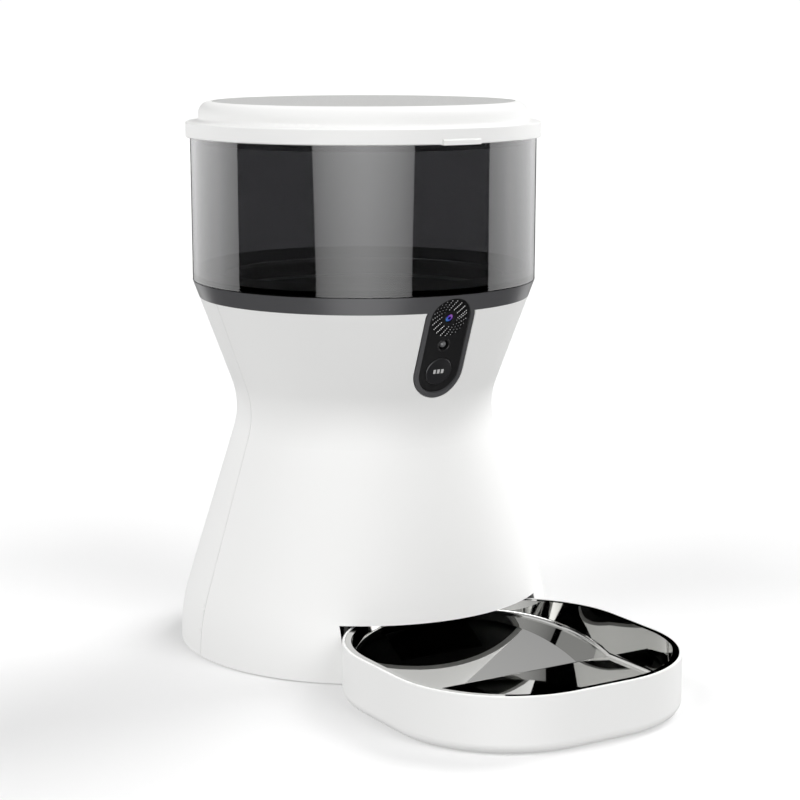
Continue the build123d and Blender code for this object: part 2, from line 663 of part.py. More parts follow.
def battery_screw():
    return rod(SCREW_R, FLOOR_GAP, FLOOR_GAP + 8, 0, cover_screw_y()) + rod(
        HEAD_R, FLOOR_GAP - 0.7, FLOOR_GAP, 0, cover_screw_y())


def battery_bay():
    low = FLOOR_GAP + BASE_WALL
    x, y = BAY_X + BAY_WALL, (BAY_Y[0] - BAY_WALL, BAY_Y[1] + BAY_WALL)
    box = block((-x, x), y, (low, BAY_TOP_Z))
    return box - block((-BAY_X, BAY_X), BAY_Y, (low - 1, BAY_TOP_Z - BAY_WALL))


def cell_places():
    return [(offset * 2 * (CELL_R + 0.6), FLOOR_GAP + BASE_WALL + CELL_R + 1.6) for offset in (-1, 0, 1)]


def battery_cells():
    cells = []
    middle = sum(BAY_Y) / 2
    for x, z in cell_places():
        can = rod_y(CELL_R, middle - CELL_LENGTH / 2, middle + CELL_LENGTH / 2 - 1.5, x, z)
        cells.append(can + rod_y(4.5, middle + CELL_LENGTH / 2 - 1.6, middle + CELL_LENGTH / 2, x, z))
    return cells


def battery_contacts():
    contacts = []
    for x, z in cell_places():
        for wall, inner in ((BAY_Y[0], 1), (BAY_Y[1], -1)):
            plate = block((x - 7, x + 7), sorted((wall, wall + inner * 0.6)), (z - 7, z + 7))
            bump = rod_y(3.5, *sorted((wall, wall + inner * 3.5)), x, z)
            contacts.append(plate + bump)
    return contacts


def base_screws():
    head = FLOOR_GAP + 1.2
    return [rod(SCREW_R, head, FLOOR_GAP + BASE_WALL + 11, x, y) + rod(HEAD_R, FLOOR_GAP, head, x, y)
            for x, y in base_posts()]


def feet_places():
    return [(-86, -22), (86, -22), (-66, 60), (66, 60)]


def rubber_feet():
    return [rod(FOOT_R - 0.1, 0, FLOOR_GAP + 0.8, x, y) for x, y in feet_places()]


def dc_socket():
    outer = BASE_R - 3.6
    body = block((-7, 7), (outer - 15, outer - 3), (SOCKET_Z - 6, SOCKET_Z + 6))
    nose = rod_y(SOCKET_R, outer - 3.5, outer, 0, SOCKET_Z)
    hole = rod_y(2.8, outer - 11, outer + 1, 0, SOCKET_Z)
    pin = rod_y(1.0, outer - 12, outer - 1.5, 0, SOCKET_Z)
    return body + nose - hole + pin


def main_board():
    board = block((-28, 28), (BOARD_Y, BOARD_Y + BOARD_WALL), (57, 101))
    for x, z in BOARD_POSTS:
        board -= rod_y(1.3, 0, BIG / 3, x, z)
    return board


def board_parts():
    front = BOARD_Y
    return [block((-9, 9), (front - 3.2, front), (70, 95)), block((-22, -13), (front - 1.4, front), (72, 81)),
            rod_y(4, front - 9, front, 15, 70), rod_y(3, front - 7, front, 16, 84),
            block((-20, -12), (front - 6, front), (60, 66))]


def board_screws():
    return [rod_y(1.05, BOARD_Y, BOARD_Y + 7, x, z) + rod_y(2.2, BOARD_Y - 1.5, BOARD_Y, x, z)
            for x, z in BOARD_POSTS]


def gearbox_screws():
    top = CASE_TOP_Z - CASE_WALL
    return [rod(1.2, top, CASE_TOP_Z + 6.5, x, y) + rod(2.2, top - 1.6, top, x, y) for x, y in CASE_POSTS]


def lid_shell():
    """White cap: upright band, narrow ledge and rounded shoulder, open in the middle for the top panel."""
    skirt_in = HOPPER_R + 0.4
    seat_r, seat_z = TOP_PANEL_R + FIT, LID_TOP_Z - TOP_PANEL_WALL
    under_z, dome_in = seat_z - LID_WALL, DOME_R - LID_WALL
    points = [(skirt_in, BAND_Z), (BAND_R, BAND_Z), (BAND_R, BAND_TOP_Z), (DOME_R, BAND_TOP_Z + 0.6),
              (DOME_R, LID_TOP_Z), (seat_r, LID_TOP_Z), (seat_r, seat_z), (TOP_PANEL_R - 3, seat_z),
              (TOP_PANEL_R - 3, under_z), (dome_in, under_z), (dome_in, HOPPER_TOP_Z + 1.0),
              (skirt_in, HOPPER_TOP_Z + 1.0)]
    rounds = [(points[1], 0.5), (points[2], 0.8), (points[3], 1.6), (points[4], DOME_ROUND - 1.6)]
    cap = turned(points, rounds)
    return cap + lid_tab(skirt_in) - block((TAB_LEFT - TAB_SLIT, TAB_LEFT), (-BIG, -BAND_R + 0.9),
                                           (BAND_Z - 1, TAB_Z + TAB_HEIGHT))


def lid_tab(skirt_in):
    """Finger lip at the front of the band: a short bar with a sloping top."""
    high = TAB_Z + TAB_HEIGHT
    bar = turned([(skirt_in, TAB_Z), (BAND_R + TAB_PROUD, TAB_Z), (BAND_R + TAB_PROUD, high - TAB_PROUD),
                  (BAND_R - 0.2, high), (skirt_in, high)])
    return bar & block((TAB_LEFT, TAB_RIGHT), (-BIG, 0), (TAB_Z - 1, high + 1))


def lid_top_panel():
    panel = rod(TOP_PANEL_R, LID_TOP_Z - TOP_PANEL_WALL, LID_TOP_Z)
    return fillet(panel.faces().sort_by(Axis.Z)[-1].edges(), 0.6)


def lid_liner():
    """Inner pan that plugs the hopper's mouth and carries the seal and the desiccant box."""
    out, roof = DOME_R - LID_WALL, LID_TOP_Z - TOP_PANEL_WALL - LID_WALL
    pan = tube(out, out - 1.8, LINER_Z, roof) + rod(out, LINER_Z, LINER_Z + 1.8)
    pan -= rod(31, LINER_Z - 1, LINER_Z + 3)
    return pan - tube(out + 1, out - 0.8, LINER_Z + 1.8, LINER_Z + 5.2)


def lid_seal():
    lip = HOPPER_R - HOPPER_WALL - 0.35
    ring = DOME_R - LID_WALL - 0.8
    return turned([(ring, LINER_Z + 1.9), (lip - 1.6, LINER_Z + 1.9), (lip, LINER_Z + 3.2),
                   (lip - 0.3, LINER_Z + 4.4), (lip - 1.6, LINER_Z + 5.1), (ring, LINER_Z + 5.1)])


def desiccant_box():
    cup = rod(30.8, LINER_Z, LINER_Z + 13) - rod(29.2, LINER_Z + 1.6, LINER_Z + 14)
    slots = [Rot(0, 0, 60 * i) * block((8, 24), (-1.2, 1.2), (LINER_Z - 1, LINER_Z + 3)) for i in range(6)]
    for cut in slots:
        cup -= cut
    return cup + tube(33, 30.8, LINER_Z + 1.8, LINER_Z + 3.2)


def desiccant_bag():
    return rod(28.5, LINER_Z + 2, LINER_Z + 12)


def feed_tray():
    """White tray: upright wall with a rounded foot, and a ledge inside the rim for the bowl's flange."""
    seat_z = RIM_Z - STEEL - 0.3
    shell = slab(tray_outline(0), TRAY_Z, RIM_Z)
    shell = fillet(shell.faces().sort_by(Axis.Z)[0].edges(), TRAY_FOOT_ROUND)
    shell = fillet(shell.faces().sort_by(Axis.Z)[-1].edges(), 0.5)
    shell -= slab(tray_outline(RIM_EDGE), seat_z, BIG)
    shell -= slab(tray_outline(RIM_EDGE + FLANGE_W - 1.2), seat_z - 3, BIG)
    cavity = slab(tray_outline(TRAY_WALL), TRAY_Z + TRAY_WALL, seat_z - 3)
    cavity = fillet(cavity.faces().sort_by(Axis.Z)[0].edges(), TRAY_FOOT_ROUND - TRAY_WALL / 2)
    shell -= cavity
    for x, y in tray_pad_places():
        shell -= rod(5, 0, TRAY_Z + 0.8, x, y)
    return shell


def tray_pad_places():
    return [(sx * 45, TRAY_Y + sy * 45) for sx in (-1, 1) for sy in (-1, 1)]


def tray_pads():
    return [rod(4.9, 0, TRAY_Z + 0.8, x, y) for x, y in tray_pad_places()]


def ramp(drop):
    """Wedge under the bowl's sloping back, lowered by drop."""
    far = TRAY_Y + TRAY_HALF_L
    rise = RAMP_SLOPE * (far - RAMP_Y)
    floor_z = BOWL_FLOOR_Z - drop
    under = floor_z - 10
    side = Polyline((RAMP_Y, floor_z), (far, floor_z + rise), (far, under), (RAMP_Y, under), close=True)
    side = make_face(side)
    return extrude(Plane.YZ * side, BIG / 2, both=True)


def steel_bowl():
    """Pressed bowl: flat floor in front, ramp at the back, upright wall and a narrow level flange."""
    lip = RIM_EDGE + FLANGE_W
    top = RIM_Z - 0.2
    cavity = slab(tray_outline(lip), BOWL_FLOOR_Z, top + 1) - ramp(0)
    low_edges = [edge for edge in cavity.edges() if edge.center().Z < top and not is_upright(edge)]
    cavity = fillet(low_edges, BOWL_ROUND)
    outer = slab(tray_outline(lip - STEEL), BOWL_FLOOR_Z - STEEL, top) - ramp(STEEL)
    flange = slab(tray_outline(RIM_EDGE + 0.2), top - STEEL, top)
    return outer + flange - cavity


def is_upright(edge):
    size = edge.bounding_box().size
    return size.X < 0.01 and size.Y < 0.01


def export(node, shape):
    """One STEP per node; a list is a group of separate solids."""
    solids = shape if isinstance(shape, list) else [shape]
    solids = [solid for item in solids for solid in item.solids()]
    moved = [solid.moved(FRAME) for solid in solids]
    whole = moved[0] if len(moved) == 1 else Compound(children=moved)
    whole.label = node
    export_step(whole, f"parts/{node}.step")


def main():
    os.makedirs("parts", exist_ok=True)
    shell = hollow_shell()
    export("front_shell", front_shell(shell))
    export("rear_shell", rear_shell(shell))
    makers = (shell_screws, trim_ring, panel_face, speaker_grille, lens_ring, camera_lens, camera_module,
              sensor_bezel, sensor_dome, control_button, tact_switch, panel_board, micro_speaker,
              microphone, hopper, hopper_floor, hopper_gasket, funnel, metering_drum, drum_screws,
              level_sensors, output_gear, second_gear, first_gear, motor_pinion, gear_motor, gear_axles,
              gearbox_case, gearbox_cover, gearbox_screws, shaft_bushes, rotor_shaft, rotor, rotor_wipers,
              agitator, chute, bowl_niche, base_plate, battery_cover, battery_screw, battery_bay,
              battery_cells, battery_contacts, base_screws, rubber_feet, dc_socket, main_board,
              board_parts, board_screws, lid_shell, lid_top_panel, lid_liner, lid_seal, desiccant_box,
              desiccant_bag, feed_tray, tray_pads, steel_bowl)
    for maker in makers:
        export(maker.__name__, maker())


main()
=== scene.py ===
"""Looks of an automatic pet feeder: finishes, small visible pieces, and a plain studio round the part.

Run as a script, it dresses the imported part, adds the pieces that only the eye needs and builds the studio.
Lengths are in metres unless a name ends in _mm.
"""

import json
import math

import bmesh
import bpy
from mathutils import Matrix, Vector


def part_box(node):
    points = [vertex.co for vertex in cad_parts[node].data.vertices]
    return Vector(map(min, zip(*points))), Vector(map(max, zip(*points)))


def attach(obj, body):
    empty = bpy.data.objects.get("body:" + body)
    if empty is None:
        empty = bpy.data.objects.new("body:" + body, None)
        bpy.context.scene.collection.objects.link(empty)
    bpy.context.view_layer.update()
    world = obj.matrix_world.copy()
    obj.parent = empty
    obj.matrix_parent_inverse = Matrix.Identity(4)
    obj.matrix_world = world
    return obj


bl_info = {
    "name": "Pet feeder looks",
    "version": (1, 0, 0),
    "blender": (4, 5, 0),
    "location": "View3D > Sidebar > Feeder",
    "description": "Finishes, small pieces and studio for an automatic pet feeder",
    "category": "Object",
}

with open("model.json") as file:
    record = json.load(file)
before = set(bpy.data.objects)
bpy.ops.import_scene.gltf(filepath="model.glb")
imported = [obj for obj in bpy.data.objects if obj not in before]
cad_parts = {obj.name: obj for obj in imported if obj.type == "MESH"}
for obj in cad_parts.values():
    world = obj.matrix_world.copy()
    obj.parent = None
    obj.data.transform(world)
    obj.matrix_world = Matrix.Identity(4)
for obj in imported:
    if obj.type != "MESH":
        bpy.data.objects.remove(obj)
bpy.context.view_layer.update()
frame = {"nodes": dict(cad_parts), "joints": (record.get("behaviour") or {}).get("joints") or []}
HOPPER_LOW, HOPPER_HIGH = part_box("hopper")
AXIS = Vector(((HOPPER_LOW.x + HOPPER_HIGH.x) / 2, (HOPPER_LOW.y + HOPPER_HIGH.y) / 2, 0.0))
MM = 0.001

# the button's icon: height and spacing of its blocks as shares of their width, then thickness, rounding, lift
ICON_HEIGHT, ICON_SPACING = 1.55, 1.55
ICON_THICK, ICON_ROUND, ICON_LIFT = 0.10 * MM, 0.04 * MM, 0.02 * MM
BUTTON_MIDDLE = 1.5 * MM             # radius round the button's middle in which its top is measured

# the grille's rims: sides, then radius at the top and width of the lip as shares of the radius at the foot
DOT_SIDES, DOT_TOP, DOT_RIM = 8, 0.55, 0.12
DOT_HEIGHT, DOT_SINK = 0.16 * MM, 0.12 * MM
FACES_UP = 0.9                       # a face whose normal rises more than this is a top
GRILLE_INNER, GRILLE_OUTER = 4.9 * MM, 9.8 * MM
GRILLE_RINGS, GRILLE_PITCH = 6, 1.5 * MM

FLOOR_SIDE = 24.0
SUN_REACH = 3.0
BACKDROP = 1.02
FILL_LOW, FILL_HIGH = 0.74, 0.28     # fill from below, as thrown up by the white floor, and from above
FILL_TURN = 0.4                      # rise of the ray within which the fill turns from one to the other
CEILING = 0.85
CEILING_LOW, CEILING_HIGH = 0.42, 0.85    # rise of the ray at which the ceiling starts to show and is full
CARD_RADIUS, CARD_FACETS = 4.0, 720
CARD_FLOOR_SHARE, CARD_TOP_SHARE = 0.74, 0.10    # what is left of a card's glow at the floor and at its top
FADE_LOW, FADE_HIGH = -0.30, 0.10    # heights between which the cards fade towards the floor
THIN_LOW, THIN_HIGH = 0.30, 1.20     # heights between which they fade towards the ceiling
# name, low and high edge, brightness, (angle, share of it) pairs, narrowing towards the floor in degrees
CARDS = (
    ("front_card", -5.0, 7.0, 5.5,
     ((0, 1.0), (10, 0.91), (18, 0.80), (26, 0.66), (33.4, 0.48), (33.6, 0.0), (40, 0.0)), 2.4),
    ("side_card", -1.2, 1.5, 3.4,
     ((89.3, 0.78), (110, 0.98), (126, 0.82), (148, 0.55), (162, 0.25), (165, 0.0)), 0.0))
# name, angle from the camera's side, elevation and spread in degrees, strength
SUNS = (("key", -60, 38, 44, 1.46), ("second", 46, 38, 44, 1.44), ("behind", 134, 42, 34, 1.75))


# ---- settings a user would change ------------------------------------------------------------------------


class FeederColours(bpy.types.PropertyGroup):
    """Colours of the feeder's finishes, as sRGB hex values."""

    white: bpy.props.StringProperty(
        name="White ABS", description="Shells, lid and tray", default="F2F2F1")
    lid_panel: bpy.props.StringProperty(
        name="Lid panel", description="Grained panel on the lid", default="C2C2C1")
    ring: bpy.props.StringProperty(
        name="Trim ring", description="Ring and control tongue", default="515153")
    panel: bpy.props.StringProperty(
        name="Panel face", description="Face of the control tongue", default="1F1F20")
    button: bpy.props.StringProperty(
        name="Button", description="Push button cap", default="28282A")
    smoke: bpy.props.StringProperty(
        name="Hopper smoke", description="Tint of the hopper wall", default="6C6C6E")
    steel: bpy.props.StringProperty(
        name="Bowl steel", description="Polished bowl", default="D2D2D0")


class FeederSizes(bpy.types.PropertyGroup):
    """Sizes of the small pieces that only the looks need."""

    icon_block: bpy.props.FloatProperty(
        name="Icon block", description="Width of one block of the button's icon", default=1.5 * MM,
        subtype="DISTANCE", unit="LENGTH")
    # radius of one raised grille rim; the brightness of the rims is painted glint
    dot_radius: bpy.props.FloatProperty(
        name="Grille dot", description="Radius of one burnished rim of the speaker grille", default=0.38 * MM,
        subtype="DISTANCE", unit="LENGTH")


class FeederStudio(bpy.types.PropertyGroup):
    """The studio's camera."""

    camera_azimuth: bpy.props.FloatProperty(
        name="Camera azimuth", description="Round the body's axis from straight in front",
        default=math.radians(-30.4), subtype="ANGLE", unit="ROTATION")
    camera_distance: bpy.props.FloatProperty(
        name="Camera distance", description="Level distance from the body's axis",
        default=1.113, subtype="DISTANCE", unit="LENGTH")
    camera_height: bpy.props.FloatProperty(
        name="Camera height", description="Height above the floor",
        default=0.329, subtype="DISTANCE", unit="LENGTH")
    camera_pitch: bpy.props.FloatProperty(
        name="Camera pitch", description="Downward tilt",
        default=math.radians(10.24), subtype="ANGLE", unit="ROTATION")
    camera_yaw: bpy.props.FloatProperty(
        name="Camera yaw", description="Turn to the right of the body's axis",
        default=math.radians(0.989), subtype="ANGLE", unit="ROTATION")
    camera_lens: bpy.props.FloatProperty(
        name="Lens", description="Focal length on a 36 mm sensor, in millimetres", default=94.5)


# ---- small helpers ---------------------------------------------------------------------------------------


def linear(code, alpha=1.0):
    """sRGB hex value to linear colour."""
    channels = [int(code[i:i + 2], 16) / 255 for i in (0, 2, 4)]
    return tuple(c / 12.92 if c <= 0.04045 else ((c + 0.055) / 1.055) ** 2.4 for c in channels) + (alpha,)


def add_node(tree, kind, inputs=None, **properties):
    """One node with its properties set and its inputs set or linked."""
    made = tree.nodes.new(kind)
    for name, value in properties.items():
        setattr(made, name, value)
    for name, value in (inputs or {}).items():
        if isinstance(value, bpy.types.NodeSocket):
            tree.links.new(value, made.inputs[name])
        else:
            made.inputs[name].default_value = value
    return made


def new_material(name):
    """Empty node material, with its node tree."""
    material = bpy.data.materials.new(name)
    material.use_nodes = True
    material.node_tree.nodes.clear()
    return material, material.node_tree


def close_material(material, shader):
    """Ends a material with its shader."""
    add_node(material.node_tree, "ShaderNodeOutputMaterial", {"Surface": shader})
    return material


def deselect():
    """Leaves nothing selected, because an operator acts on all that is."""
    for item in bpy.context.selected_objects:
        item.select_set(False)


def dress(material, *nodes):
    """Gives CAD nodes their finish."""
    for name in nodes:
        mesh = frame["nodes"][name].data
        mesh.materials.clear()
        mesh.materials.append(material)


# ---- finishes --------------------------------------------------------------------------------------------


def moulded(name, colour, roughness, grain_mm, depth_mm, ior=1.53, level=0.5, swing=0.02, tone=0.01):
    """Injection-moulded plastic: the mould's texture is a fine bump, and handling makes the gloss uneven."""
    material, tree = new_material(name)
    place = add_node(tree, "ShaderNodeTexCoord").outputs["Object"]
    grain = add_node(tree, "ShaderNodeTexNoise", {
        "Vector": place, "Scale": 1 / (grain_mm * MM), "Detail": 3.0, "Roughness": 0.6})
    wide = add_node(tree, "ShaderNodeTexNoise", {"Vector": place, "Scale": 14.0, "Detail": 1.0})
    gloss = add_node(tree, "ShaderNodeMapRange", {"Value": wide.outputs["Fac"], "To Min": roughness - swing,
                                                  "To Max": roughness + swing})
    base = linear(colour)
    dim = tuple(c * (1 - tone) for c in base[:3]) + (1.0,)
    shade = add_node(tree, "ShaderNodeMix", {0: wide.outputs["Fac"], 6: base, 7: dim}, data_type="RGBA")
    bump = add_node(tree, "ShaderNodeBump", {"Height": grain.outputs["Fac"], "Strength": 1.0,
                                             "Distance": depth_mm * MM})
    shader = add_node(tree, "ShaderNodeBsdfPrincipled", {
        "Base Color": shade.outputs[2], "Roughness": gloss.outputs["Result"],
        "Normal": bump.outputs["Normal"], "IOR": ior, "Specular IOR Level": level})
    return close_material(material, shader.outputs["BSDF"])


def smoked_san(name, tint):
    """Smoked SAN: clear styrene plastic with a dark dye. The polished mould leaves it mirror-like on top."""
    material, tree = new_material(name)
    place = add_node(tree, "ShaderNodeTexCoord").outputs["Object"]
    wide = add_node(tree, "ShaderNodeTexNoise", {"Vector": place, "Scale": 30.0, "Detail": 1.0})
    gloss = add_node(tree, "ShaderNodeMapRange", {
        "Value": wide.outputs["Fac"], "To Min": 0.015, "To Max": 0.03})
    shader = add_node(tree, "ShaderNodeBsdfPrincipled", {
        "Base Color": linear(tint), "Roughness": gloss.outputs["Result"], "IOR": 1.57,
        "Transmission Weight": 1.0})
    return close_material(material, shader.outputs["BSDF"])


def steel(name, colour, roughness, grain_mm, depth_mm):
    """Stainless or plated steel. Polishing leaves faint waves, drawn coarser than life so that they show."""
    material, tree = new_material(name)
    place = add_node(tree, "ShaderNodeTexCoord").outputs["Object"]
    wave = add_node(tree, "ShaderNodeTexNoise", {
        "Vector": place, "Scale": 1 / (grain_mm * MM), "Detail": 2.0})
    gloss = add_node(tree, "ShaderNodeMapRange", {"Value": wave.outputs["Fac"], "To Min": roughness * 0.8,
                                                  "To Max": roughness * 1.2})
    bump = add_node(tree, "ShaderNodeBump", {"Height": wave.outputs["Fac"], "Strength": 1.0,
                                             "Distance": depth_mm * MM})
    shader = add_node(tree, "ShaderNodeBsdfPrincipled", {
        "Base Color": linear(colour), "Metallic": 1.0, "Roughness": gloss.outputs["Result"],
        "Normal": bump.outputs["Normal"]})
    return close_material(material, shader.outputs["BSDF"])


def colour_ramp(tree, value, stops):
    """Colour ramp from (position, linear colour) stops."""
    ramp = add_node(tree, "ShaderNodeValToRGB", {"Fac": value})
    elements = ramp.color_ramp.elements
    while len(elements) < len(stops):
        elements.new(0.5)
    for element, (position, colour) in zip(elements, stops):
        element.position = position
        element.color = colour
    return ramp.outputs["Color"]


def lens_offsets(tree):
    """Distances from the lens centre along two slanting directions of the tongue: up-right and up-left."""
    panel = panel_frame()
    place = add_node(tree, "ShaderNodeTexCoord").outputs["Object"]
    local = add_node(tree, "ShaderNodeVectorMath", {0: place, 1: panel.translation}, operation="SUBTRACT")
    right, up = panel.col[0].to_3d(), panel.col[1].to_3d()
    offsets = []
    for direction in ((right + up).normalized(), (up - right).normalized()):
        along = add_node(tree, "ShaderNodeVectorMath", {0: local.outputs["Vector"], 1: direction},
                         operation="DOT_PRODUCT")
        offsets.append(along.outputs["Value"])
    return offsets


def lens_with_painted_reflection(name):
    """Dark coated glass with a painted reflection: a slanting ring, cyan to violet, painted round a black
    pupil in place of the sheen the coating throws back.
    """
    material, tree = new_material(name)
    along, across = lens_offsets(tree)
    stretched = add_node(tree, "ShaderNodeMath", {0: along, 1: 0.80}, operation="MULTIPLY")
    squeezed = add_node(tree, "ShaderNodeMath", {0: across, 1: 1.15}, operation="MULTIPLY")
    reach = add_node(tree, "ShaderNodeCombineXYZ", {"X": stretched.outputs[0], "Y": squeezed.outputs[0]})
    size = add_node(tree, "ShaderNodeVectorMath", {0: reach.outputs[0]}, operation="LENGTH")
    radial = add_node(tree, "ShaderNodeMapRange", {"Value": size.outputs["Value"], "From Max": 2.5 * MM})
    side = add_node(tree, "ShaderNodeMapRange", {"Value": along, "From Min": -2.4 * MM, "From Max": 2.4 * MM})
    # painted reflection: the coloured sheen of the coating, cyan to violet across the lens, is painted into
    # the base colour
    tint = colour_ramp(tree, side.outputs["Result"], [(0.0, linear("2E9CE0")), (0.35, linear("4A5CD8")),
                                                      (0.6, linear("7C4CD0")), (1.0, linear("D08CE0"))])
    black, clear, faint = linear("020203"), linear("FFFFFF"), linear("08080C")
    # where the painted reflection shows: black at the pupil, full on the ring, faint beyond it
    painted_ring_mask = colour_ramp(tree, radial.outputs["Result"], [(0.24, black), (0.36, clear), (0.62, clear),
                                                        (0.80, faint)])
    colour = add_node(tree, "ShaderNodeMix", {0: 1.0, 6: tint, 7: painted_ring_mask}, data_type="RGBA",
                      blend_type="MULTIPLY")
    shader = add_node(tree, "ShaderNodeBsdfPrincipled", {
        "Base Color": colour.outputs[2], "Roughness": 0.08, "IOR": 1.6, "Coat Weight": 1.0,
        "Coat Roughness": 0.02})
    return close_material(material, shader.outputs["BSDF"])


def rims_with_painted_glints(name):
    """Aluminium rims of the grille's holes with painted glints: their colour is painted bright along one
    slanting direction and dark across it.
    """
    material, tree = new_material(name)
    along, across = lens_offsets(tree)
    reach = add_node(tree, "ShaderNodeCombineXYZ", {"X": along, "Y": across})
    unit = add_node(tree, "ShaderNodeVectorMath", {0: reach.outputs[0]}, operation="NORMALIZE")
    split = add_node(tree, "ShaderNodeSeparateXYZ", {0: unit.outputs[0]})
    painted_glint_lobe = add_node(tree, "ShaderNodeMath", {0: split.outputs["X"], 1: split.outputs["X"]},
                    operation="MULTIPLY")
    # painted highlight: grey across the slanting direction, white along it, in place of the glints of light
    # on the rims
    colour = colour_ramp(tree, painted_glint_lobe.outputs[0], [(0.0, linear("8A8A8C")), (0.45, linear("E0E0E2")),
                                                 (1.0, linear("FFFFFF"))])
    shader = add_node(tree, "ShaderNodeBsdfPrincipled", {
        "Base Color": colour, "Metallic": 0.15, "Roughness": 0.45})
    return close_material(material, shader.outputs["BSDF"])


FINISHES = {}


def make_finishes(colours):
    """Makes every finish, by the name that the pieces are dressed with."""
    FINISHES.update({
        "white": moulded("gloss_moulded_white_abs", colours.white, 0.46, 0.9, 0.003, level=0.12),
        "grained": moulded("spark_grained_white_abs", colours.lid_panel, 0.60, 1.2, 0.9, level=0.2),
        "ring": moulded("satin_moulded_dark_abs", colours.ring, 0.30, 0.6, 0.006, ior=1.46, tone=0.04),
        "panel": moulded("satin_moulded_black_abs", colours.panel, 0.34, 0.5, 0.005, tone=0.05),
        "button": moulded("satin_button_abs", colours.button, 0.28, 0.5, 0.004, tone=0.05),
        "dark": moulded("plain_black_abs", "0A0A0B", 0.50, 0.6, 0.01, ior=1.45),
        "inner": moulded("plain_white_abs", "E8E8E6", 0.45, 0.6, 0.01),
        "acetal": moulded("cut_acetal", "E9E6DA", 0.40, 0.4, 0.004),
        "smoke": smoked_san("smoked_clear_san", colours.smoke),
        "smoky_dome": moulded("smoky_sensor_dome", "6E6E70", 0.15, 0.5, 0.002),
        "mirror": steel("mirror_polished_stainless", colours.steel, 0.03, 14.0, 0.003),
        "plated": steel("zinc_plated_steel", "B9BABC", 0.32, 0.3, 0.01),
        "rims": rims_with_painted_glints("aluminium_rims_painted_glints"),
        "brass": steel("sintered_bronze", "B08A4C", 0.35, 0.3, 0.01),
        "rubber": moulded("soft_black_rubber", "1E1E1E", 0.75, 0.4, 0.03),
        "silicone": moulded("soft_clear_silicone", "C9C9C7", 0.55, 0.5, 0.01, ior=1.41),
        "board": moulded("solder_masked_board", "14502C", 0.35, 0.5, 0.01),
        "jacket": moulded("printed_cell_jacket", "34383E", 0.30, 0.8, 0.004),
        "cloth": moulded("non_woven_desiccant_bag", "DADAD4", 0.85, 0.5, 0.12),
        "glass": lens_with_painted_reflection("coated_lens_painted_reflection"),
        "print": moulded("printed_light_grey", "C8C8C8", 0.5, 0.3, 0.002),
    })


# ---- pieces ----------------------------------------------------------------------------------------------


def panel_frame():
    """The control tongue's own axes, from the lens: X to the right, Y up the slope, Z out of the panel."""
    low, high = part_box("camera_lens")
    centre = (low + high) / 2
    press = next(joint for joint in frame["joints"] if joint["name"] == "button_press")
    outward = -Vector(press["axis"]).normalized()
    right = Vector((1, 0, 0))
    up = outward.cross(right)
    turn = Matrix((right, up, outward)).transposed().to_4x4()
    return Matrix.Translation(centre) @ turn


def button_centre(panel):
    """The button's place in the panel's axes, and the height of its top there."""
    node = frame["nodes"]["control_button"].data
    back = panel.inverted()
    points = [back @ vertex.co for vertex in node.vertices]
    middle = [(min(p[i] for p in points) + max(p[i] for p in points)) / 2 for i in (0, 1)]
    reach = [p.z for p in points if (p.x - middle[0]) ** 2 + (p.y - middle[1]) ** 2 < BUTTON_MIDDLE ** 2]
    return Vector((middle[0], middle[1], max(reach)))


def grille_top(panel):
    """Height of the grille's face in the panel's axes."""
    back = panel.inverted()
    return max((back @ vertex.co).z for vertex in frame["nodes"]["speaker_grille"].data.vertices)


def settle(obj, name, material, body):
    """Names a finished piece, puts its place into its mesh and hangs it on its body."""
    obj.name = name
    obj.data.name = name
    obj.data.transform(obj.matrix_world)
    obj.matrix_world = Matrix.Identity(4)
    obj.data.materials.clear()
    obj.data.materials.append(material)
    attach(obj, body)
    return obj


def check_dressed():
    """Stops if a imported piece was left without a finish."""
    finished = set(FINISHES.values())
    bare = [name for name, piece in frame["nodes"].items() if not finished & set(piece.data.materials)]
    if bare:
        raise ValueError(f"no finish on {', '.join(sorted(bare))}")


def join(parts):
    """Joins objects into the first of them."""
    deselect()
    for part in parts:
        part.select_set(True)
    bpy.context.view_layer.objects.active = parts[0]
    bpy.ops.object.join()
    return parts[0]


class Dressing:
    """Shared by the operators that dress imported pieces: `dressing` maps a finish to its pieces."""

    dressing = {}

    def execute(self, context):
        if not FINISHES:
            make_finishes(context.scene.feeder_colours)
        for finish, nodes in self.dressing.items():
            dress(FINISHES[finish], *nodes)
        return {"FINISHED"}


class FEEDER_OT_shells(Dressing, bpy.types.Operator):
    """White shells of the body and the plates under it"""

    bl_idname = "feeder.shells"
    bl_label = "Body shells"
    dressing = {"white": ("front_shell", "rear_shell", "base_plate", "battery_cover"),
                "rubber": ("rubber_feet",)}


class FEEDER_OT_hopper(Dressing, bpy.types.Operator):
    """Smoked hopper with its dark floor and its gasket"""

    bl_idname = "feeder.hopper"
    bl_label = "Hopper"
    dressing = {"smoke": ("hopper",), "dark": ("hopper_floor",), "silicone": ("hopper_gasket",)}


class FEEDER_OT_lid(Dressing, bpy.types.Operator):
    """Lid shell, its grained panel and the pieces under it"""

    bl_idname = "feeder.lid"
    bl_label = "Lid"
    dressing = {"white": ("lid_shell",), "grained": ("lid_top_panel",), "silicone": ("lid_seal",),
                "inner": ("lid_liner", "desiccant_box"), "cloth": ("desiccant_bag",)}


class FEEDER_OT_controls(Dressing, bpy.types.Operator):
    """Trim ring, control tongue and what sits in it"""

    bl_idname = "feeder.controls"
    bl_label = "Ring and controls"
    dressing = {"ring": ("trim_ring",), "panel": ("panel_face", "lens_ring", "sensor_bezel"),
                "button": ("control_button",), "glass": ("camera_lens",), "smoky_dome": ("sensor_dome",),
                "dark": ("speaker_grille", "camera_module", "tact_switch", "micro_speaker"),
                "plated": ("microphone",), "board": ("panel_board",)}


class FEEDER_OT_tray(Dressing, bpy.types.Operator):
    """Pull-out tray with the steel bowl"""

    bl_idname = "feeder.tray"
    bl_label = "Tray and bowl"
    dressing = {"white": ("feed_tray",), "mirror": ("steel_bowl",), "rubber": ("tray_pads",)}


